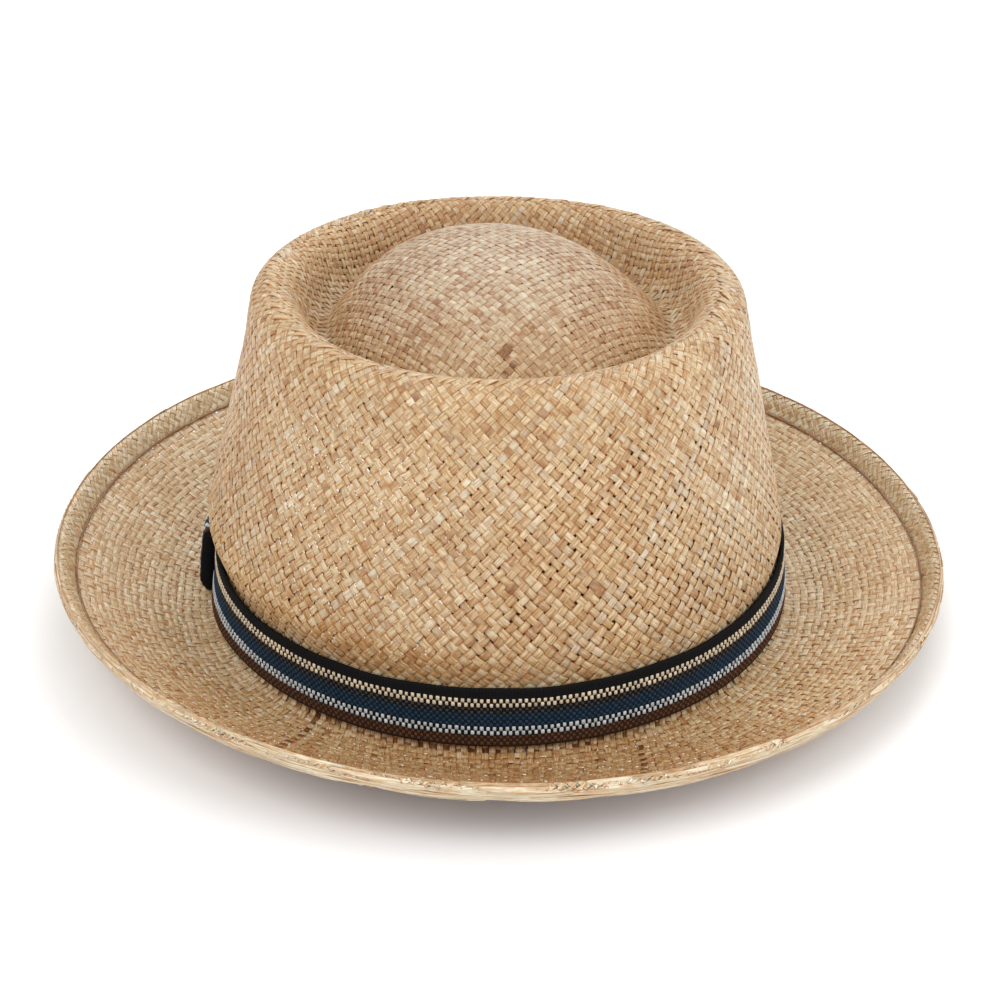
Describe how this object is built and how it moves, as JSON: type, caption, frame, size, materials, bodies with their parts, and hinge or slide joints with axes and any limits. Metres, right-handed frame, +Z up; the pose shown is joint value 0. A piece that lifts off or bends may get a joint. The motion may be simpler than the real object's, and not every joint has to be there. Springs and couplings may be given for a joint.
{
  "type": "porkpie hat",
  "caption": "Woven straw hat with a telescope crown, a turned-up hemmed brim and a striped ribbon band with its keeper.",
  "frame": {"origin": "middle of the brim, on the surface that the hat rests on", "axes": "+Z up, -Y towards the side that the picture shows in front, -X towards the ribbon's keeper"},
  "size_m": [0.2825, 0.3006, 0.1179],
  "materials": {
    "straw": "plain weave of flat golden straw strips, satin, with fine fibre lines",
    "ribbon": "matt woven ribbon with black, cream, charcoal, navy, pale blue and brown stripes"
  },
  "bodies": {
    "root": {"straw_body": "straw", "ribbon_band": "ribbon", "ribbon_keeper": "ribbon"}
  },
  "joints": []
}
